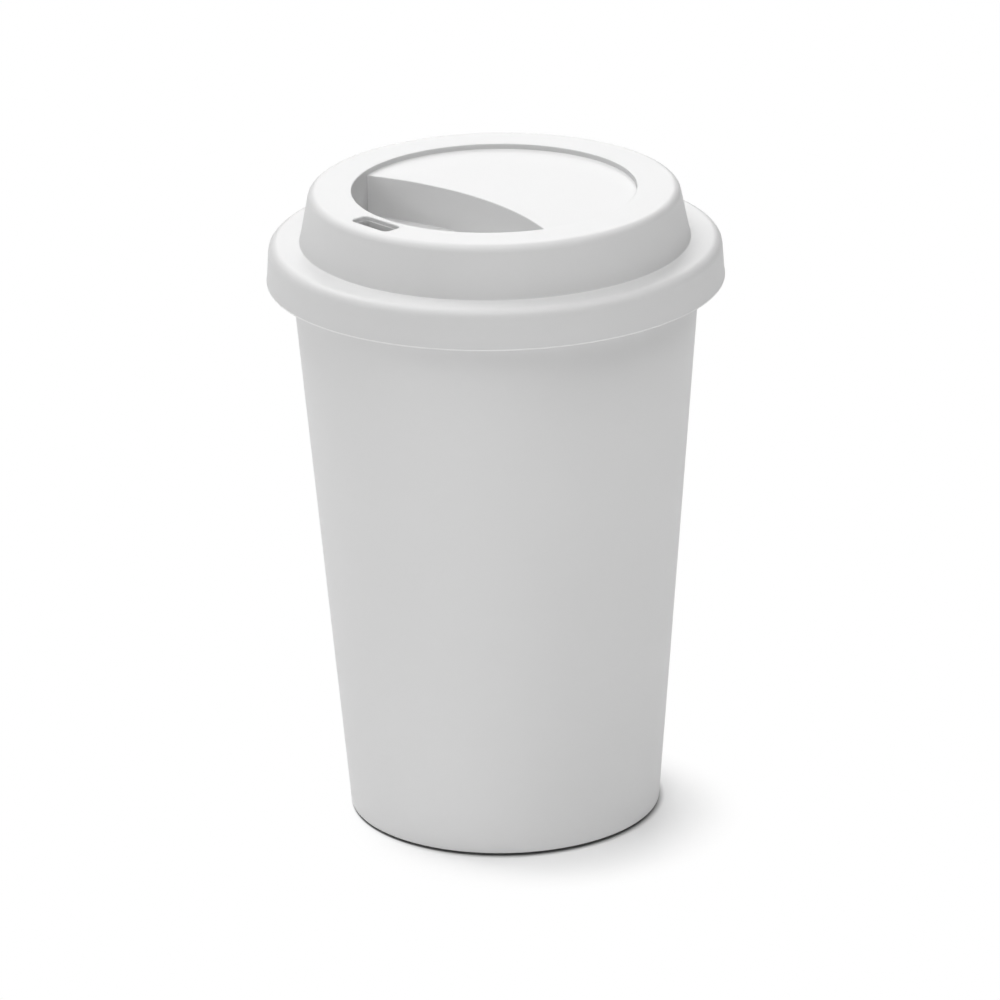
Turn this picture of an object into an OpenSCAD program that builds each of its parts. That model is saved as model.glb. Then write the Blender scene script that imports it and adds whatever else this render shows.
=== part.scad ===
// Reusable plastic cup with a press-on drinking lid.
// Millimetres, Z up, origin at the centre of the foot ring on the table.
// The drink slot faces -Y.

/* [Cup] */
// Height of the cup to the top of its lip
cup_h = 125; // [90:0.1:180]
// Outer diameter of the wall, taken down to the table
base_d = 66; // [50:0.1:80]
// Outer diameter of the wall at the height of the lip
mouth_d = 86.6; // [82:0.1:100]
// Thickness of the cup wall, measured level
cup_wall = 1.8; // [1:0.1:3]
// Thickness of the cup floor
floor_t = 2; // [1:0.1:5]
// Height of the hollow under the floor
foot_h = 2.4; // [0.8:0.1:6]
// Width of the base around the hollow
foot_w = 2.8; // [2.6:0.1:8]
// Height of the gap between the table and the lower edge of the wall
foot_gap_h = 0.6; // [0.1:0.05:0.8]
// How far the ring that the cup stands on is set back under that edge
foot_gap_w = 1.6; // [0.2:0.1:1.8]
// Rounding of the lower edge of the wall
base_round = 0.25; // [0.1:0.05:0.8]
// Rounding inside the cup between wall and floor
floor_round = 5; // [1:0.5:15]

/* [Lip] */
// How far the turned-over lip stands out from the wall
lip_w = 2.75; // [2:0.05:6]
// Height of the turned-over lip
lip_drop = 5; // [3:0.1:12]
// Thickness of the turned-over lip
lip_t = 1.2; // [0.8:0.1:1.6]
// Rounding of the outer top edge of the lip
lip_round = 1.1; // [0.3:0.1:2]

/* [Lid] */
// Thickness of the lid moulding
lid_wall = 1.25; // [0.8:0.05:2]
// How far the lid skirt reaches below the lip
skirt_past = 2; // [1.4:0.1:5]
// Slope of the skirt, wider at the bottom, in degrees
skirt_draft = 3.7; // [0:0.1:8]
// Thickness of the flange above the edge of the lip
flange_t = 1.35; // [0.8:0.05:3]
// Width of the flange outside the dome
flange_w = 6.66; // [5:0.01:7.6]
// Slope of the flange, higher at the dome, in degrees
flange_slope = 0.5; // [0.5:0.5:10]
// Rounding of the outer edge of the flange
flange_round = 2.1; // [0.5:0.1:3]
// Height of the dome above its foot
dome_h = 10.9; // [6:0.1:20]
// Slope of the dome wall, narrower at the top, in degrees
dome_draft = 11.3; // [5:0.1:20]
// Rounding where the dome meets the flange
dome_foot_round = 0.2; // [0.1:0.1:2]
// Rounding of the outer top edge of the dome
rim_round = 1.8; // [0.2:0.1:2]
// Width of the raised rim around the panel
rim_w = 8.94; // [8:0.01:14]
// Depth of the panel below the rim
panel_drop = 1.1; // [0.4:0.1:4]
// Rounding of the fine edges of the lid
fine_round = 0.25; // [0.1:0.05:0.35]

/* [Plug and snap bead] */
// How far the plug ring reaches into the cup
plug_h = 5.5; // [3:0.1:15]
// Rounding that leads the plug ring into the cup
plug_round = 0.6; // [0.1:0.1:1]
// Height of the snap bead inside the skirt
bead_h = 1; // [0.6:0.1:1.2]

/* [Drinking well] */
// Depth of the well below the rim
well_depth = 10.1; // [4:0.1:20]
// Radius of the curved wall that crosses the lid
well_arc_r = 68; // [40:1:200]
// Distance from the middle of the lid to that wall
well_front = 4.68; // [0:0.01:15]

/* [Drink slot] */
// Width of the slot across the rim
slot_w = 10.8; // [5:0.1:20]
// Length of the slot from the well towards the edge
slot_l = 4.4; // [2.8:0.1:4.6]
// Rounding of the corners of the slot
slot_corner = 1.3; // [0.4:0.1:2]
// Strip of rim between the wall of the well and the slot
slot_land = 0.05; // [0.05:0.01:0.4]
// Depth of the small step in the wall of the slot
step_depth = 0.95; // [0.5:0.05:1.1]
// Width of that step
step_w = 0.12; // [0.04:0.02:0.3]
// Thickness of the collar that carries the slot down under the rim
collar_wall = 1; // [0.6:0.1:1.4]
// Depth of the end of that collar below the rim
collar_depth = 3.2; // [2:0.1:6]

/* [Clearances] */
// Gap between the top of the lip and the lid
seat_gap = 0.1; // [0.02:0.01:0.5]
// Gap between the side of the lip and the skirt
side_gap = 0.25; // [0.1:0.01:1]
// Gap between the plug ring and the inside of the cup
plug_gap = 0.25; // [0.1:0.01:1]
// Gap between the side of the lip and the snap bead
bead_gap = 0.1; // [0.02:0.01:0.2]

/* [Hidden] */
$fn = 128;
arc_steps = 6;

// Cup
base_r = base_d / 2;
foot_r = base_r - foot_gap_w;
foot_round = foot_h / 3;
mouth_r = mouth_d / 2;
wall_slope = (mouth_r - base_r) / cup_h;
floor_z = foot_h + floor_t;
lip_r = mouth_r + lip_w;
lip_under_z = cup_h - lip_t;
lip_z = cup_h - lip_drop;
lip_in_r = lip_r - lip_t;
function cup_out_r(z) = base_r + wall_slope * z;
function cup_in_r(z) = cup_out_r(z) - cup_wall;

// Lid, from the seat on the lip outwards and downwards
seat_z = cup_h + seat_gap;
skirt_z = lip_z - skirt_past;
skirt_top_r = lip_r + side_gap;
function skirt_in_r(z) = skirt_top_r + (seat_z - z) * tan(skirt_draft);
function skirt_out_r(z) = skirt_in_r(z) + lid_wall;
bead_top_z = lip_z - bead_gap;
bead_low_z = bead_top_z - bead_h;
bead_r = lip_r + bead_gap;

// Lid, from the seat inwards and upwards
dome_foot_r = skirt_top_r + lid_wall - flange_w;
dome_foot_z = seat_z + flange_t + (skirt_top_r - dome_foot_r) * tan(flange_slope);
rim_z = dome_foot_z + dome_h;
function dome_out_r(z) = dome_foot_r - (z - dome_foot_z) * tan(dome_draft);
function dome_in_r(z) = dome_out_r(z) - lid_wall / cos(dome_draft);
rim_r = dome_out_r(rim_z);
panel_r = rim_r - rim_w;
panel_z = rim_z - panel_drop;
function plug_out_r(z) = cup_in_r(z) - plug_gap;
function plug_in_r(z) = plug_out_r(z) - lid_wall;
plug_z = seat_z - plug_h;

// The top of the flange falls this far before it meets the outside of the skirt
flange_fall = (skirt_out_r(dome_foot_z) - dome_foot_r) / (1 / tan(flange_slope) - tan(skirt_draft));
edge_z = dome_foot_z - flange_fall;
// The plug's inside meets the dome's inside at this height
plug_top_z = seat_z + (dome_in_r(seat_z) - plug_in_r(seat_z)) / (tan(dome_draft) + wall_slope);

// Well and slot
well_z = rim_z - well_depth;
slot_in_r = panel_r + lid_wall + slot_land;
cut_past = 1;

// The same direction with a length of 1
function unit(v) = v / norm(v);

// Points round the corner b, on the way from a to c; a radius too large for its sides is reduced
function corner_points(a, b, c, r) =
    let (
        u = unit(a - b),
        v = unit(c - b),
        half = acos(u * v) / 2,
        fit_r = min(r, tan(half) * min(norm(a - b), norm(c - b)) / 2),
        mid = b + unit(u + v) * fit_r / sin(half),
        from = b + u * fit_r / tan(half) - mid,
        to = b + v * fit_r / tan(half) - mid,
        turn = atan2(from.x * to.y - from.y * to.x, from * to)
    )
    [for (i = [0:arc_steps])
        let (t = turn * i / arc_steps)
        mid + [from.x * cos(t) - from.y * sin(t), from.x * sin(t) + from.y * cos(t)]];

// Outline through corners given as [radius, height, rounding]
function outline(corners) =
    let (n = len(corners))
    [for (i = [0:n - 1])
        let (
            a = corners[(i + n - 1) % n],
            b = corners[i],
            c = corners[(i + 1) % n]
        )
        each b.z > 0
            ? corner_points([a.x, a.y], [b.x, b.y], [c.x, c.y], b.z)
            : [[b.x, b.y]]];

// Solid turned about the Z axis from such corners
module turned(corners) {
    rotate_extrude()
        polygon(outline(corners));
}

// Crescent between the edge of the panel and the arc that crosses the lid
module well_outline(grow) {
    intersection() {
        circle(r = panel_r + grow);
        translate([0, -well_front - well_arc_r])
            circle(r = well_arc_r + grow);
    }
}

// Rectangle with true round corners, grown all round, in its place under the rim
module slot_outline(grow) {
    straight_w = slot_w - 2 * slot_corner;
    straight_l = slot_l - 2 * slot_corner;
    translate([0, -slot_in_r - slot_l / 2]) {
        square([straight_w, slot_l + 2 * grow], center = true);
        square([slot_w + 2 * grow, straight_l], center = true);
        for (x = [-1, 1], y = [-1, 1])
            translate([x * straight_w / 2, y * straight_l / 2])
                circle(r = slot_corner + grow);
    }
}

// Slot through the rim, a little narrower below its step
module slot_cut() {
    translate([0, 0, rim_z - step_depth])
        linear_extrude(step_depth + cut_past)
            slot_outline(0);
    translate([0, 0, rim_z - collar_depth - cut_past])
        linear_extrude(collar_depth + cut_past)
            slot_outline(-step_w);
}

// Wall that carries the slot down inside the dome
module slot_collar() {
    translate([0, 0, rim_z - collar_depth])
        linear_extrude(collar_depth - lid_wall / 2)
            slot_outline(collar_wall);
}

// Tapered cup with a foot ring and a lip turned over outwards
module cup() {
    color([0.83, 0.83, 0.83])
        turned([
            [0, foot_h, 0],
            [base_r - foot_w - foot_h / 2, foot_h, foot_round],
            [base_r - foot_w, 0, fine_round],
            [foot_r, 0, fine_round],
            [foot_r, foot_gap_h, 0],
            [cup_out_r(foot_gap_h), foot_gap_h, base_round],
            [cup_out_r(lip_under_z), lip_under_z, lip_t / 3],
            [lip_in_r, lip_under_z, lip_t / 3],
            [lip_in_r, lip_z, fine_round],
            [lip_r, lip_z, fine_round],
            [lip_r, cup_h, lip_round],
            [cup_in_r(cup_h), cup_h, cup_wall / 3],
            [cup_in_r(floor_z), floor_z, floor_round],
            [0, floor_z, 0]
        ]);
}

// Skirt, flange, dome, rim and panel as one thin shell, with the plug ring and the snap bead
module lid_shell() {
    turned([
        [0, panel_z, 0],
        [panel_r, panel_z, fine_round],
        [panel_r, rim_z, fine_round],
        [rim_r, rim_z, rim_round],
        [dome_foot_r, dome_foot_z, dome_foot_round],
        [skirt_out_r(edge_z), edge_z, flange_round],
        [skirt_out_r(skirt_z), skirt_z, fine_round],
        [skirt_in_r(skirt_z), skirt_z, fine_round],
        [skirt_in_r(bead_low_z), bead_low_z, 0],
        [bead_r, (bead_low_z + bead_top_z) / 2, fine_round],
        [skirt_in_r(bead_top_z), bead_top_z, 0],
        [skirt_top_r, seat_z, min(max(flange_round - lid_wall, fine_round), lip_round)],
        [plug_out_r(seat_z), seat_z, 0],
        [plug_out_r(plug_z), plug_z, plug_round],
        [plug_in_r(plug_z), plug_z, fine_round],
        [plug_in_r(plug_top_z), plug_top_z, 0],
        [dome_in_r(rim_z - lid_wall), rim_z - lid_wall, fine_round],
        [panel_r + lid_wall, rim_z - lid_wall, fine_round],
        [panel_r + lid_wall, panel_z - lid_wall, fine_round],
        [0, panel_z - lid_wall, 0]
    ]);
}

// Lid with its crescent drinking well and the slot through the rim
module lid() {
    color([0.88, 0.88, 0.88])
        difference() {
            union() {
                lid_shell();
                slot_collar();
                translate([0, 0, well_z - lid_wall])
                    linear_extrude(panel_z - well_z + lid_wall / 2)
                        well_outline(lid_wall);
            }
            translate([0, 0, well_z])
                linear_extrude(well_depth + cut_past)
                    well_outline(0);
            slot_cut();
        }
}

cup();
lid();
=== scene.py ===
# Reusable plastic cup with a press-on drinking lid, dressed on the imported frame
import math

import bmesh
import bpy
from mathutils import Matrix, Vector


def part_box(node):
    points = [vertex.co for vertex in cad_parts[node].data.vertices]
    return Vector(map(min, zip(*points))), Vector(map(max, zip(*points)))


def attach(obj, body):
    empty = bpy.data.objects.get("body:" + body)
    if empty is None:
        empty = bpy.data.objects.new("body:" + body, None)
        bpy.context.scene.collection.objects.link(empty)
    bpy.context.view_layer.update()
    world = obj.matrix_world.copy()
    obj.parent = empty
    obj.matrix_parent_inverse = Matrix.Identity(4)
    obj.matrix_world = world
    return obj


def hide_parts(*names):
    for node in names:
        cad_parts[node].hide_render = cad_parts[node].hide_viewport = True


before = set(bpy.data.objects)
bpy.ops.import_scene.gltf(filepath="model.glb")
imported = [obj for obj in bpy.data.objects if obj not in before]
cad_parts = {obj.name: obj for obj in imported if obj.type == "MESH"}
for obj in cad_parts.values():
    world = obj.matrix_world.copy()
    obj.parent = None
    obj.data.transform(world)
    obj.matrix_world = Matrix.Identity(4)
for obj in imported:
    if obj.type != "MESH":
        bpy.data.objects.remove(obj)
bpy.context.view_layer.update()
mm = 0.001
sharpAngle = math.radians(50)


# Outlines and rings

def roundCorners(corners, steps=7):
    # corners are (radius, height, rounding); both ends of the line stay as they are
    points = [Vector(corners[0][:2])]
    for before, here, after in zip(corners, corners[1:], corners[2:]):
        a, b, c = Vector(before[:2]), Vector(here[:2]), Vector(after[:2])
        if not here[2]:
            points.append(b)
            continue
        u, v = (a - b).normalized(), (c - b).normalized()
        half = u.angle(v) / 2
        sides = [(a - b).length / (1 if before is corners[0] else 2),
                 (c - b).length / (1 if after is corners[-1] else 2)]
        reach = min(here[2] / math.tan(half), *sides)
        radius = reach * math.tan(half)
        middle = b + (u + v).normalized() * radius / math.sin(half)
        start, end = b + u * reach - middle, b + v * reach - middle
        turn = math.atan2(start.x * end.y - start.y * end.x, start.dot(end))
        for i in range(steps + 1):
            spoke = start.copy()
            spoke.rotate(Matrix.Rotation(turn * i / steps, 2))
            points.append(middle + spoke)
    points.append(Vector(corners[-1][:2]))
    return points


def spread(stops):
    # angles from one stop to the next, each in its own number of steps
    angles = []
    for (start, steps), (end, _) in zip(stops, stops[1:]):
        angles += [start + (end - start) * i / steps for i in range(steps)]
    return angles


def polar(radius, angle, z, centreY=0):
    return Vector((radius * math.cos(angle), centreY + radius * math.sin(angle), z))


def addRing(bm, point, angles):
    return [bm.verts.new(polar(point[0], a, point[1])) for a in angles]


def addFace(bm, corners):
    # corners that fall together are left out, so a grid may run to a point
    kept = [v for i, v in enumerate(corners) if v is not corners[i - 1]]
    if len(kept) > 2:
        bm.faces.new(kept)


def bridge(bm, low, high, closed=True):
    count = len(low) if closed else len(low) - 1
    for i in range(count):
        j = (i + 1) % len(low)
        addFace(bm, (low[i], low[j], high[j], high[i]))


def bridgeAll(bm, rows, closed=True):
    for low, high in zip(rows, rows[1:]):
        bridge(bm, low, high, closed)


def fillBetween(bm, rowA, rowB, rows):
    # an open grid between two lines that share their end points
    last = rowA
    for k in range(1, rows):
        t = k / rows
        inner = [bm.verts.new(a.co.lerp(b.co, t)) for a, b in zip(rowA[1:-1], rowB[1:-1])]
        line = [rowA[0]] + inner + [rowA[-1]]
        bridge(bm, last, line, closed=False)
        last = line
    bridge(bm, last, rowB, closed=False)


def united(*parts):
    # closed meshes that overlap become one
    holders = []
    for bm in parts:
        bmesh.ops.recalc_face_normals(bm, faces=bm.faces)
        mesh = bpy.data.meshes.new("part")
        bm.to_mesh(mesh)
        bm.free()
        holders.append(bpy.data.objects.new("part", mesh))
        bpy.context.scene.collection.objects.link(holders[-1])
    for other in holders[1:]:
        join = holders[0].modifiers.new("join", "BOOLEAN")
        join.operation, join.solver, join.object = "UNION", "EXACT", other
    shaped = holders[0].evaluated_get(bpy.context.evaluated_depsgraph_get())
    whole = bmesh.new()
    whole.from_mesh(shaped.to_mesh())
    shaped.to_mesh_clear()
    for holder in holders:
        mesh = holder.data
        bpy.data.objects.remove(holder)
        bpy.data.meshes.remove(mesh)
    return whole


def openEdges(mesh):
    # edges that don't join just two faces
    uses = [0] * len(mesh.edges)
    for face in mesh.polygons:
        for loop in face.loop_indices:
            uses[mesh.loops[loop].edge_index] += 1
    return sum(use != 2 for use in uses)


def finishMesh(bm, name, node, body, material):
    bmesh.ops.recalc_face_normals(bm, faces=bm.faces)
    mesh = bpy.data.meshes.new(name)
    bm.to_mesh(mesh)
    bm.free()
    mesh.polygons.foreach_set("use_smooth", [True] * len(mesh.polygons))
    mesh.set_sharp_from_angle(angle=sharpAngle)
    piece = bpy.data.objects.new(name, mesh)
    bpy.context.scene.collection.objects.link(piece)
    flat = piece.modifiers.new("flatNormals", "WEIGHTED_NORMAL")
    flat.keep_sharp = True
    mesh.materials.append(material)
    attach(piece, body)
    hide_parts(node)
    print(name, len(mesh.polygons), "faces", openEdges(mesh), "open edges")
    return piece


# Shader graph

class Wire:
    # a socket that can be used in sums
    def __init__(self, graph, socket):
        self.graph, self.socket = graph, socket

    def maths(self, operation, a, b):
        return self.graph.add("ShaderNodeMath", {"operation": operation}, {0: a, 1: b})

    def __add__(self, other):
        return self.maths("ADD", self, other)

    __radd__ = __add__

    def __sub__(self, other):
        return self.maths("SUBTRACT", self, other)

    def __rsub__(self, other):
        return self.maths("SUBTRACT", other, self)

    def __mul__(self, other):
        return self.maths("MULTIPLY", self, other)

    __rmul__ = __mul__


class Graph:
    # the nodes of a material or a world
    def __init__(self, owner):
        self.owner = owner
        owner.use_nodes = True
        self.tree = owner.node_tree
        self.tree.nodes.clear()

    def add(self, kind, settings=None, inputs=None, output=0):
        node = self.tree.nodes.new(kind)
        for key, value in (settings or {}).items():
            setattr(node, key, value)
        for key, value in (inputs or {}).items():
            if isinstance(value, Wire):
                self.tree.links.new(value.socket, node.inputs[key])
            else:
                node.inputs[key].default_value = value
        return Wire(self, node.outputs[output]) if node.outputs else node

    def noise(self, place, scale, detail):
        return self.add("ShaderNodeTexNoise", None, {"Vector": place, "Scale": scale, "Detail": detail})

    def ramp(self, value, low, high):
        # 0 below low, 1 above high, smooth between
        return self.add("ShaderNodeMapRange", {"interpolation_type": "SMOOTHSTEP"},
                        {"Value": value, "From Min": low, "From Max": high})

    def mixColour(self, factor, a, b):
        return self.add("ShaderNodeMix", {"data_type": "RGBA"}, {"Factor": factor, 6: a, 7: b}, output=2)

    def finish(self, shader, kind="ShaderNodeOutputMaterial"):
        self.add(kind, None, {"Surface": shader})
        return self.owner


def grey(value):
    return (value, value, value, 1)


def mouldedPlastic(name, look):
    # satin moulded plastic: soft drifts of tone, fine spark-eroded grain
    graph = Graph(bpy.data.materials.new(name))
    place = graph.add("ShaderNodeTexCoord", output="Object")
    drift = graph.noise(place, look["driftScale"], 2)
    grain = graph.noise(place, look["grainScale"], 2)
    darker, lighter = look["tone"] - look["toneSpread"], look["tone"] + look["toneSpread"]
    tone = graph.mixColour(drift, grey(darker), grey(lighter))
    # painted shade: a band of radius at the wall round the recess gets a darker tone
    if "recessShadeTone" in look:
        flat = graph.add("ShaderNodeVectorMath", {"operation": "MULTIPLY"}, {0: place, 1: (1, 1, 0)})
        radius = graph.add("ShaderNodeVectorMath", {"operation": "LENGTH"}, {0: flat}, output="Value")
        wall = graph.ramp(radius, look["recessShadeFrom"], look["recessShadeFrom"] + look["edgeBlur"])
        wall = wall * (1 - graph.ramp(radius, look["recessShadeTo"], look["recessShadeTo"] + look["edgeBlur"]))
        tone = graph.mixColour(wall, tone, grey(look["recessShadeTone"]))
    # painted highlight: a pale band along the bottom edge of the skirt, where that edge catches the light
    if "edgeHighlightTop" in look:
        heights = graph.add("ShaderNodeSeparateXYZ", None, {0: place}, output="Z")
        edgeHighlight = 1 - graph.ramp(heights, look["edgeHighlightTop"], look["edgeHighlightTop"] + look["edgeBlur"])
        tone = graph.mixColour(edgeHighlight * look["edgeHighlightShare"], tone, grey(look["edgeHighlightTone"]))
    rough = look["roughness"] + (grain - 0.5) * look["roughSpread"]
    bump = graph.add("ShaderNodeBump", None,
                     {"Height": grain, "Strength": look["grainStrength"], "Distance": look["grainDepth"]})
    shader = graph.add("ShaderNodeBsdfPrincipled", None,
                       {"Base Color": tone, "Roughness": rough, "Normal": bump, "IOR": look["ior"]})
    return graph.finish(shader)


# Cup

cupLow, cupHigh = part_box("cup")
cupShape = {
    "baseRadius": 33 * mm,
    "mouthRadius": 43.3 * mm,
    "lipRadius": cupHigh.x,
    "height": cupHigh.z,
    "wall": 1.8 * mm,
    "floor": 2 * mm,
    "footHeight": 2.4 * mm,
    "footWidth": 2.8 * mm,
    "footGapHeight": 0.6 * mm,
    "footGapWidth": 1.6 * mm,
    "baseRound": 0.25 * mm,
    "floorRound": 5 * mm,
    "lipDrop": 5 * mm,
    "lipThickness": 1.2 * mm,
    "lipRound": 1.1 * mm,
    "fineRound": 0.25 * mm,
    "steps": 336,
}
cupLook = {
    # the plastic's tone, partly painted light: set above the lid's 0.73 to stand in for light bounced up
    # from the floor
    "tone": 0.8,
    "toneSpread": 0.012,
    "driftScale": 28,
    "grainScale": 1500,
    "grainStrength": 0.12,
    "grainDepth": 0.05 * mm,
    "roughness": 0.48,
    "roughSpread": 0.08,
    "ior": 1.49,
}


def cupRadius(z):
    c = cupShape
    return c["baseRadius"] + (c["mouthRadius"] - c["baseRadius"]) * z / c["height"]


def makeCup():
    c = cupShape
    top, lipZ, underZ = c["height"], c["height"] - c["lipDrop"], c["height"] - c["lipThickness"]
    floorZ = c["footHeight"] + c["floor"]
    footRadius = c["baseRadius"] - c["footWidth"]
    ringRadius = c["baseRadius"] - c["footGapWidth"]
    lipInner = c["lipRadius"] - c["lipThickness"]
    path = roundCorners([
        (0, c["footHeight"], 0),
        (footRadius - c["footHeight"] / 2, c["footHeight"], c["footHeight"] / 3),
        (footRadius, 0, c["fineRound"]),
        (ringRadius, 0, c["fineRound"]),
        (ringRadius, c["footGapHeight"], 0),
        (cupRadius(c["footGapHeight"]), c["footGapHeight"], c["baseRound"]),
        (cupRadius(underZ), underZ, c["lipThickness"] / 3),
        (lipInner, underZ, c["lipThickness"] / 3),
        (lipInner, lipZ, c["fineRound"]),
        (c["lipRadius"], lipZ, c["fineRound"]),
        (c["lipRadius"], top, c["lipRound"]),
        (cupRadius(top) - c["wall"], top, c["wall"] / 3),
        (cupRadius(floorZ) - c["wall"], floorZ, c["floorRound"]),
        (0, floorZ, 0),
    ])
    angles = spread([(0, c["steps"]), (math.tau, 0)])
    bm = bmesh.new()
    rings = [addRing(bm, p, angles) for p in path[1:-1]]
    bridgeAll(bm, rings)
    for end, ring in ((path[0], rings[0]), (path[-1], rings[-1])):
        centre = bm.verts.new((0, 0, end[1]))
        bridge(bm, [centre] * len(ring), ring)
    finishMesh(bm, "cup_moulding", "cup", "cup", mouldedPlastic("cupPlastic", cupLook))


# Lid

lidLow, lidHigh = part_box("lid")
lidShape = {
    "rimZ": lidHigh.z,
    "skirtZ": lidLow.z,
    "wall": 1.25 * mm,
    "seatGap": 0.1 * mm,
    "sideGap": 0.25 * mm,
    "skirtDraft": math.radians(3.7),
    "flangeSlope": math.radians(0.5),
    "flangeRound": 2.1 * mm,
    "domeFootRadius": 40.89 * mm,
    "domeHeight": 10.9 * mm,
    "domeDraft": math.radians(11.3),
    "domeFootRound": 0.2 * mm,
    "rimRound": 1.8 * mm,
    "rimWidth": 8.94 * mm,
    "panelDrop": 1.1 * mm,
    "recessFoot": 0.08 * mm,
    "fineRound": 0.25 * mm,
    "plugGap": 0.25 * mm,
    "plugHeight": 5.5 * mm,
    "plugRound": 0.6 * mm,
    "beadHeight": 1 * mm,
    "beadGap": 0.1 * mm,
    "edgeLine": 0.3 * mm,      # fine step left by the mould round the bottom of the skirt; it also sets the height of the painted highlight along that edge
    "edgeProud": 0.08 * mm,
}
wellShape = {
    "depth": 10.1 * mm,
    "arcRadius": 68 * mm,
    "front": 4.68 * mm,
    "floorRound": 0.25 * mm,
    "wallRows": 6,
    "fillRows": 14,
    "roundRows": 4,
    "fade": 2 * mm,            # the fine rounding dies out this far from the tips
}
slotShape = {
    "width": 10.8 * mm,
    "length": 4.4 * mm,
    "corner": 1.3 * mm,
    "land": 0.05 * mm,
    "topRound": 0.3 * mm,
    "step": 0.12 * mm,         # small step where the two halves of the mould meet
    "stepDepth": 0.95 * mm,
    "collarWall": 1 * mm,
    "collarDepth": 3.2 * mm,
    "collarRound": 0.04 * mm,
    "window": math.radians(15),
    "acrossSteps": 40,
    "alongSteps": 14,
}
lidLook = {
    "tone": 0.73,
    "toneSpread": 0.012,
    "driftScale": 28,
    "grainScale": 1500,
    "grainStrength": 0.12,
    "grainDepth": 0.05 * mm,
    "roughness": 0.48,
    "roughSpread": 0.08,
    "ior": 1.49,
    # painted highlight along the skirt's bottom edge, laid over the mould's fine step
    "edgeHighlightTop": lidShape["skirtZ"] + lidShape["edgeLine"],
    "edgeBlur": 0.05 * mm,
    "edgeHighlightShare": 0.8,
    "recessShadeTone": 0.62,        # painted shade: darker tone on the wall round the recess, standing in for the shade in that crease
    "recessShadeFrom": 29.7 * mm,
    "recessShadeTo": 29.85 * mm,
    "edgeHighlightTone": 0.95,
}


def crossing(radiusA, radiusB, centreB):
    # angle, seen from the lid's axis, of the right tip where the two circles cross
    y = (radiusB ** 2 - radiusA ** 2 - centreB ** 2) / (-2 * centreB)
    return math.atan2(y, math.sqrt(radiusA ** 2 - y ** 2))


def slotLoop(centreY, grow, z):
    # round-cornered rectangle, clockwise from the middle of its corner at +X -Y
    s = slotShape
    corner = s["corner"]
    points = []
    for side in range(4):
        outward = Vector((0, -1))
        outward.rotate(Matrix.Rotation(-math.pi / 2 * side, 2))
        along = Vector((outward.y, -outward.x))
        across = side % 2 == 0
        span = (s["width"] if across else s["length"]) / 2 - corner
        reach = (s["length"] if across else s["width"]) / 2 - corner
        steps = s["acrossSteps"] if across else s["alongSteps"]
        bend = corner * math.pi / 4
        for i in range(steps):
            run = (2 * span + 2 * bend) * i / steps
            if run < bend:
                turn, place = (run / bend - 1) * math.pi / 4, -span
            elif run < bend + 2 * span:
                turn, place = 0, run - bend - span
            else:
                turn, place = (run - bend - 2 * span) / bend * math.pi / 4, span
            normal = outward * math.cos(turn) + along * math.sin(turn)
            flat = along * place + outward * reach + normal * (corner + grow)
            points.append(Vector((flat.x, centreY + flat.y, z)))
    return points


def addSlotRings(bm, centreY, rows, closed=False):
    rings = [[bm.verts.new(p) for p in slotLoop(centreY, grow, z)] for grow, z in rows]
    bridgeAll(bm, rings + rings[:1] if closed else rings)
    return rings


def makeCollar(centreY, rimZ):
    # carries the slot down inside the dome, its top edge is the step in the slot's wall
    h = slotShape
    topZ, endZ = rimZ - h["stepDepth"], rimZ - h["collarDepth"]
    section = roundCorners([
        (h["collarWall"], topZ, 0),
        (-h["step"], topZ, h["collarRound"]),
        (-h["step"], endZ, h["collarRound"]),
        (h["collarWall"], endZ, 0),
    ], 2)
    collar = bmesh.new()
    addSlotRings(collar, centreY, section, closed=True)
    return collar


def windowedRing(bm, outer, inner, window, rows):
    # a flat ring of faces that leaves a window open; returns the loop round the window
    first, last = window
    z = outer[0].co.z
    lines = [outer]
    for k in range(1, rows):
        t = k / rows
        lines.append([None if first < i < last else bm.verts.new(outer[i].co.lerp(inner[i].co, t))
                      for i in range(len(outer))])
    lines.append(inner)
    for low, high in zip(lines, lines[1:]):
        for i in range(len(outer)):
            if not first <= i < last:
                j = (i + 1) % len(outer)
                addFace(bm, (low[i], low[j], high[j], high[i]))
    loop = [outer[i] for i in range(first, last)]
    loop += [line[last] for line in lines[:-1]]
    loop += [inner[i] for i in range(last, first, -1)]
    loop += [line[first] for line in lines[:0:-1]]
    return loop


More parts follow.
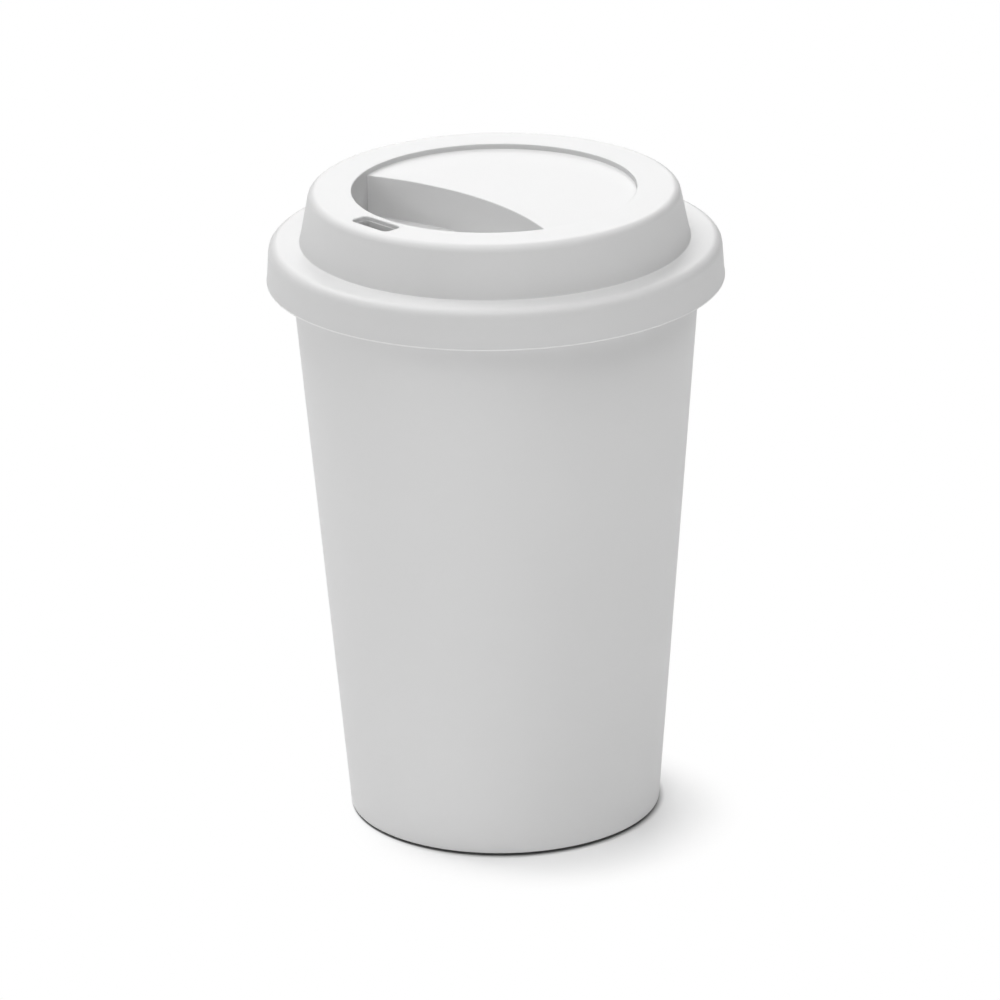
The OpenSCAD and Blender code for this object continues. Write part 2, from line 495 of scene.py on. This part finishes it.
def makeLid():
    s, w, h = lidShape, wellShape, slotShape
    rimZ, skirtZ, wall, fine = s["rimZ"], s["skirtZ"], s["wall"], s["fineRound"]
    seatZ = cupShape["height"] + s["seatGap"]
    panelZ, wellZ = rimZ - s["panelDrop"], rimZ - w["depth"]
    skirtTop = cupShape["lipRadius"] + s["sideGap"]
    domeFootZ = rimZ - s["domeHeight"]
    rimRadius = s["domeFootRadius"] - s["domeHeight"] * math.tan(s["domeDraft"])
    panelRadius = rimRadius - s["rimWidth"]
    innerWell = panelRadius + wall

    def skirtIn(z):
        return skirtTop + (seatZ - z) * math.tan(s["skirtDraft"])

    def skirtOut(z):
        return skirtIn(z) + wall - s["edgeProud"]

    def domeIn(z):
        outer = s["domeFootRadius"] - (z - domeFootZ) * math.tan(s["domeDraft"])
        return outer - wall / math.cos(s["domeDraft"])

    def plugOut(z):
        return cupRadius(z) - cupShape["wall"] - s["plugGap"]

    # angles round the lid, clockwise, passing the well's tips and the edges of the slot's window
    arcCentre = -w["front"] - w["arcRadius"]
    tipOut = crossing(panelRadius, w["arcRadius"], arcCentre)
    tipIn = crossing(innerWell, w["arcRadius"] + wall, arcCentre)
    front = -math.pi / 2
    sideSteps, restSteps, tipSteps = 64, 164, 2
    stops = [
        (tipIn, tipSteps),
        (tipOut, sideSteps),
        (front + h["window"], h["acrossSteps"]),
        (front - h["window"], sideSteps),
        (-math.pi - tipOut, tipSteps),
        (-math.pi - tipIn, restSteps),
        (tipIn - math.tau, 0),
    ]
    angles = spread(stops)
    windowStart = tipSteps + sideSteps
    window = (windowStart, windowStart + h["acrossSteps"])
    wellStart, wellEnd = tipSteps, tipSteps + 2 * sideSteps + h["acrossSteps"]
    bm = bmesh.new()

    # from the wall of the recess up over its edge
    edgeZ = domeFootZ - (skirtOut(domeFootZ) - s["domeFootRadius"]) / (
        1 / math.tan(s["flangeSlope"]) - math.tan(s["skirtDraft"]))
    lineZ = skirtZ + s["edgeLine"]
    plateZ = rimZ - wall
    recessTop = roundCorners([
        (panelRadius, rimZ - 3 * fine, 0),
        (panelRadius, rimZ, fine),
        (panelRadius + 3 * fine, rimZ, 0),
    ], 4)
    recessRings = [addRing(bm, p, angles) for p in recessTop]
    bridgeAll(bm, recessRings)

    # dome, flange, skirt, bead, plug and back up inside the dome
    beadTop = cupShape["height"] - cupShape["lipDrop"] - s["beadGap"]
    beadLow = beadTop - s["beadHeight"]
    plugZ = seatZ - s["plugHeight"]
    cupFlare = (cupShape["mouthRadius"] - cupShape["baseRadius"]) / cupShape["height"]
    slope = math.tan(s["domeDraft"]) + cupFlare
    plugTopZ = seatZ + (domeIn(seatZ) - plugOut(seatZ) + wall) / slope
    shell = roundCorners([
        (rimRadius - 0.9 * s["rimRound"], rimZ, 0),
        (rimRadius, rimZ, s["rimRound"]),
        (s["domeFootRadius"], domeFootZ, s["domeFootRound"]),
        (skirtOut(edgeZ), edgeZ, s["flangeRound"]),
        (skirtOut(lineZ + s["edgeProud"]), lineZ + s["edgeProud"], 0),
        (lidHigh.x, lineZ, 0),
        (lidHigh.x, skirtZ, fine / 2),
        (skirtIn(skirtZ), skirtZ, fine),
        (skirtIn(beadLow), beadLow, 0),
        (cupShape["lipRadius"] + s["beadGap"], (beadLow + beadTop) / 2, fine),
        (skirtIn(beadTop), beadTop, 0),
        (skirtTop, seatZ, s["flangeRound"] - wall),
        (plugOut(seatZ), seatZ, 0),
        (plugOut(plugZ), plugZ, s["plugRound"]),
        (plugOut(plugZ) - wall, plugZ, fine),
        (plugOut(plugTopZ) - wall, plugTopZ, fine),
        (domeIn(plateZ), plateZ, s["rimRound"] / 2),
        (domeIn(plateZ) - s["rimRound"], plateZ, 0),
    ])
    shellRings = [addRing(bm, p, angles) for p in shell]
    bridgeAll(bm, shellRings)

    # step down to the underside of the panel, and the well's outer side
    stepRing = addRing(bm, (innerWell, plateZ), angles)
    underRing = addRing(bm, (innerWell, panelZ - wall), angles)
    bridge(bm, stepRing, underRing)

    # rim face and its underside, each with a window for the slot
    rows = h["alongSteps"]
    rimLoop = windowedRing(bm, shellRings[0], recessRings[-1], window, rows)
    underLoop = windowedRing(bm, shellRings[-1], stepRing, window, rows)
    slotCentre = -(innerWell + h["land"] + h["length"] / 2)
    slotRows = []
    for i in range(5):
        bend = math.pi / 2 * i / 4
        grow, fall = h["topRound"] * (1 - math.sin(bend)), h["topRound"] * (1 - math.cos(bend))
        slotRows.append((grow, rimZ - fall))
    slotRows.append((0, plateZ))
    slotRings = addSlotRings(bm, slotCentre, slotRows)
    for loop, ring in ((rimLoop, slotRings[0]), (underLoop, slotRings[-1])):
        between = [bm.verts.new(a.co.lerp(b.co, 0.6)) for a, b in zip(loop, ring)]
        bridgeAll(bm, [loop, between, ring])

    # foot of the recess: a fine rounding that dies out at the tips of the well
    foot = s["recessFoot"]
    count = wellEnd - wellStart
    size = len(angles)
    restIndex = [(wellStart - k) % size for k in range(count + 1)]
    wellIndex = [wellStart + k for k in range(count + 1)]
    wellTurn = [angles[i] for i in wellIndex]
    restTurn = [angles[i] for i in restIndex]

    def fading(k):
        # 0 at both tips, 1 past the fade
        run = min(k, count - k) / count * 2 * w["arcRadius"] * arcHalf(0)
        return min(1, run / w["fade"])

    def arcHalf(grow):
        tip = crossing(panelRadius + grow, w["arcRadius"] + grow, arcCentre)
        x, y = (panelRadius + grow) * math.cos(tip), (panelRadius + grow) * math.sin(tip)
        return math.atan2(x, y - arcCentre)

    def arcPoint(k, grow, outward, z):
        half = arcHalf(grow)
        angle = math.pi / 2 - half + 2 * half * k / count
        return polar(w["arcRadius"] + grow + outward, angle, z, arcCentre)

    def circlePoint(k, grow, z):
        tip = crossing(panelRadius + grow, w["arcRadius"] + grow, arcCentre)
        share = (wellTurn[k] - wellTurn[0]) / (wellTurn[-1] - wellTurn[0])
        return polar(panelRadius + grow, tip + (-math.pi - 2 * tip) * share, z)

    footRing = []
    for i, a in enumerate(angles):
        k = restIndex.index(i) if i in restIndex else 0
        footRing.append(bm.verts.new(polar(panelRadius, a, panelZ + foot * fading(k))))
    bridge(bm, recessRings[0], footRing)
    tips = [footRing[wellStart], footRing[wellEnd]]

    def lineWithTips(points, ends=tips):
        return [ends[0]] + [bm.verts.new(p) for p in points[1:-1]] + [ends[1]]

    restRows = [[footRing[i] for i in restIndex]]
    arcRows = []
    for i in range(1, w["roundRows"] + 1):
        bend = math.pi / 2 * i / w["roundRows"]
        inward, rise = foot * (1 - math.cos(bend)), foot * (1 - math.sin(bend))
        restRows.append(lineWithTips([
            polar(panelRadius - inward * fading(k), restTurn[k], panelZ + rise * fading(k))
            for k in range(count + 1)]))
    for i in range(w["roundRows"] + 1):
        bend = math.pi / 2 * i / w["roundRows"]
        outward, fall = fine * (1 - math.sin(bend)), fine * (1 - math.cos(bend))
        arcRows.append(lineWithTips([
            arcPoint(k, 0, outward * fading(k), panelZ - fall * fading(k)) for k in range(count + 1)]))
    bridgeAll(bm, restRows, closed=False)
    bridgeAll(bm, arcRows, closed=False)
    fillBetween(bm, restRows[-1], arcRows[0], w["fillRows"])

    # walls and floor of the well
    circleLine, arcLine = [footRing[i] for i in wellIndex], arcRows[-1]
    wallFall = wellZ + w["floorRound"] - panelZ
    levels = [(0, panelZ + wallFall * k / w["wallRows"]) for k in range(1, w["wallRows"] + 1)]
    for i in range(1, w["roundRows"] + 1):
        bend = math.pi / 2 * i / w["roundRows"]
        grow, rise = w["floorRound"] * (math.cos(bend) - 1), w["floorRound"] * (1 - math.sin(bend))
        levels.append((grow, wellZ + rise))
    for grow, z in levels:
        nextCircle = [bm.verts.new(circlePoint(k, grow, z)) for k in range(count + 1)]
        nextArc = lineWithTips([arcPoint(k, grow, 0, z) for k in range(count + 1)],
                               (nextCircle[0], nextCircle[-1]))
        bridge(bm, circleLine, nextCircle, closed=False)
        bridge(bm, arcLine, nextArc, closed=False)
        circleLine, arcLine = nextCircle, nextArc
    fillBetween(bm, circleLine, arcLine, w["fillRows"])

    # the same walls from below
    lastIn = wellEnd + tipSteps
    shellTurn = underRing[:lastIn + 1]
    bottomZ = wellZ - wall
    bottomCircle = [bm.verts.new((v.co.x, v.co.y, bottomZ)) for v in shellTurn]
    topArc = lineWithTips([arcPoint(k, wall, 0, panelZ - wall) for k in range(count + 1)],
                          (underRing[0], underRing[lastIn]))
    bottomArc = lineWithTips([arcPoint(k, wall, 0, bottomZ) for k in range(count + 1)],
                             (bottomCircle[0], bottomCircle[-1]))
    bridge(bm, shellTurn, bottomCircle, closed=False)
    bridge(bm, topArc, bottomArc, closed=False)
    bm.faces.new(bottomCircle + bottomArc[-2:0:-1])
    bm.faces.new(underRing[lastIn:] + topArc[:-1])
    bm = united(bm, makeCollar(slotCentre, rimZ))
    finishMesh(bm, "lid_moulding", "lid", "lid", mouldedPlastic("lidPlastic", lidLook))


# Stage, lamps and camera

stage = {
    "floorSize": 30,
    "floorTone": 0.92,
    "contactShadowTone": 0.3,          # painted contact shadow: dark floor tone under the cup, so that the line below its wall stays dark
    "contactInset": 0.4 * mm,
    "contactEdge": 0.2 * mm,
    "contactShadowWidth": 1.5 * mm,  # the painted contact shadow has faded to the floor's own tone this far out
    "shadeCentre": (0.0124, -0.0006, 0),   # middle of the shadow, to the right front of the cup
    "whiteFrom": 0.0202,       # from here outwards the camera sees the floor fade to plain white
    "whiteBy": 0.0436,
    "worldStrength": 0,
    # bearing is from the camera's side of the cup, 90 to the picture's right; all in degrees
    "lamps": {
        "frontLow": {"bearing": 0, "climb": 10, "size": 0.4, "power": 2.3},
        "rightLow": {"bearing": 50, "climb": 8, "size": 0.4, "power": 0.7},
        "frontHigh": {"bearing": 0, "climb": 55, "size": 0.9, "power": 5.4},
        "overhead": {"bearing": 0, "climb": 78, "size": 0.9, "power": 4.6},
        "rightHigh": {"bearing": 90, "climb": 55, "size": 0.9, "power": 6.4},
        "backLow": {"bearing": 180, "climb": 30, "size": 0.9, "power": 6.0},
        "backLeft": {"bearing": 225, "climb": 55, "size": 0.9, "power": 11.0},
        "backLeftLow": {"bearing": 240, "climb": 30, "size": 0.9, "power": 1.7},
        "leftLow": {"bearing": 300, "climb": 30, "size": 0.9, "power": 4.0},
    },
    "lampReach": 1.6,
    "lampAim": (0, 0, 0.07),
}
cameraPlace = {
    "azimuth": math.radians(47.3),
    "reach": 1.46148,          # level distance from the cup's axis
    "height": 0.61357,
    "pitch": 0.3574,
    "roll": -0.0187,
    "lens": 265.2,
    "sensor": 36,
}


def seenDirectly(graph):
    # 1 where the camera, a reflection or a see-through surface looks straight at it
    camera, glossy, through = [graph.add("ShaderNodeLightPath", output=name)
                               for name in ("Is Camera Ray", "Is Glossy Ray", "Is Transmission Ray")]
    return camera + glossy + through


def makeStage():
    graph = Graph(bpy.data.materials.new("studioFloor"))
    place = graph.add("ShaderNodeTexCoord", output="Object")
    away = graph.add("ShaderNodeVectorMath", {"operation": "DISTANCE"},
                     {0: place, 1: stage["shadeCentre"]}, output="Value")
    fromAxis = graph.add("ShaderNodeVectorMath", {"operation": "LENGTH"}, {0: place}, output="Value")
    contactFrom = cupShape["baseRadius"] - stage["contactInset"]
    outside = graph.ramp(fromAxis, contactFrom, cupShape["baseRadius"] + stage["contactEdge"])
    # painted contact shadow: the floor's tone darkens towards the cup's foot
    clear = graph.ramp(fromAxis, contactFrom, cupShape["baseRadius"] + stage["contactShadowWidth"])
    share = graph.ramp(away, stage["whiteFrom"], stage["whiteBy"]) * outside
    tone = graph.mixColour(clear, grey(stage["contactShadowTone"]), grey(stage["floorTone"]))
    diffuse = graph.add("ShaderNodeBsdfDiffuse", None, {"Color": tone})
    glow = graph.add("ShaderNodeEmission", None, {"Color": grey(1), "Strength": 1})
    floorMaterial = graph.finish(
        graph.add("ShaderNodeMixShader", None, {0: seenDirectly(graph) * share, 1: diffuse, 2: glow}))
    half = stage["floorSize"] / 2
    mesh = bpy.data.meshes.new("studio_floor")
    corners = [(-half, -half, 0), (half, -half, 0), (half, half, 0), (-half, half, 0)]
    mesh.from_pydata(corners, [], [(0, 1, 2, 3)])
    mesh.materials.append(floorMaterial)
    floor = bpy.data.objects.new("studio_floor", mesh)
    bpy.context.scene.collection.objects.link(floor)

    # white for the camera, and no light from it on the object
    graph = Graph(bpy.data.worlds.new("studio"))
    dome = graph.add("ShaderNodeBackground", None, {"Color": grey(1), "Strength": stage["worldStrength"]})
    white = graph.add("ShaderNodeBackground", None, {"Color": grey(1), "Strength": 1})
    camera = graph.add("ShaderNodeLightPath", output="Is Camera Ray")
    mix = graph.add("ShaderNodeMixShader", None, {0: camera, 1: dome, 2: white})
    bpy.context.scene.world = graph.finish(mix, "ShaderNodeOutputWorld")

    for name, lamp in stage["lamps"].items():
        light = bpy.data.lights.new(name, "AREA")
        light.shape = "DISK"
        light.size = lamp["size"]
        light.energy = lamp["power"]
        holder = bpy.data.objects.new(name, light)
        bearing = cameraPlace["azimuth"] + math.radians(lamp["bearing"])
        climb = math.radians(lamp["climb"])
        level = Vector((math.sin(bearing), -math.cos(bearing), 0)) * math.cos(climb)
        away = level + Vector((0, 0, math.sin(climb)))
        holder.location = Vector(stage["lampAim"]) + away * stage["lampReach"]
        holder.rotation_euler = (-away).to_track_quat("-Z", "Y").to_euler()
        bpy.context.scene.collection.objects.link(holder)


def makeCamera():
    c = cameraPlace
    lens = bpy.data.cameras.new("camera")
    lens.lens, lens.sensor_width = c["lens"], c["sensor"]
    camera = bpy.data.objects.new("camera", lens)
    side = Vector((math.sin(c["azimuth"]), -math.cos(c["azimuth"]), 0))
    camera.location = side * c["reach"] + Vector((0, 0, c["height"]))
    look = -side * math.cos(c["pitch"]) - Vector((0, 0, math.sin(c["pitch"])))
    level = look.to_track_quat("-Z", "Y").to_matrix()
    camera.rotation_euler = (level @ Matrix.Rotation(c["roll"], 3, "Z")).to_euler()
    bpy.context.scene.collection.objects.link(camera)
    bpy.context.scene.camera = camera


print("camera and stage")
makeCamera()
makeStage()
print("cup")
makeCup()
print("lid")
makeLid()
bpy.context.scene.view_settings.view_transform = "Standard"
